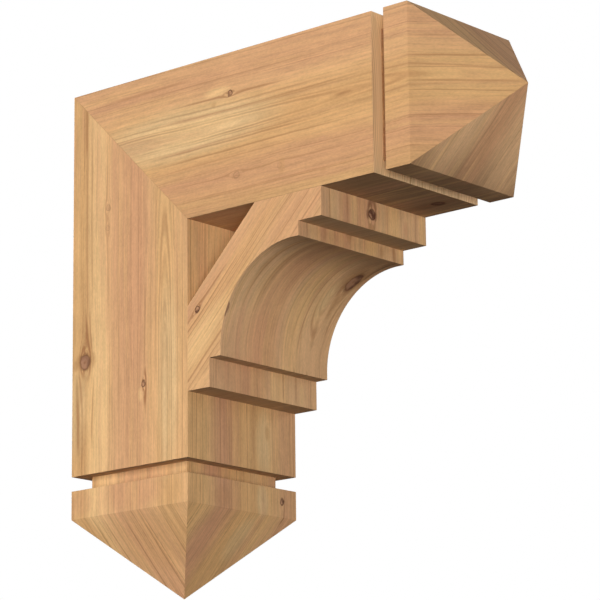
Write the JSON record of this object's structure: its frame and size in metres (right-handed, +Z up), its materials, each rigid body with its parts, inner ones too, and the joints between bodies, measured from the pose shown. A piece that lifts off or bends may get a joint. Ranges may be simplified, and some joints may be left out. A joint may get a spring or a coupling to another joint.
{
  "type": "wooden corbel bracket",
  "caption": "Mitred timber corbel bracket with a wall post, a level arm and an arched, stepped brace; post and arm end in a groove, a block and a four-sided point.",
  "frame": {"origin": "middle of the flat stretch of the wall face, half way across the width", "axes": "+Z up, +Y into the wall so the bracket stands out towards -Y, X across the width"},
  "size_m": [0.1396, 0.4572, 0.4572],
  "materials": {
    "post_cedar": "bare smooth-sawn red cedar, matte, straight grain along the post with a few small knots",
    "arm_cedar": "bare smooth-sawn red cedar, matte, grain along the arm, pink and straw bands",
    "brace_cedar": "bare smooth-sawn red cedar, matte, grain at 45 degrees along the brace"
  },
  "bodies": {
    "root": {"back_post": "post_cedar", "top_arm": "arm_cedar", "arch_brace": "brace_cedar"}
  },
  "joints": []
}
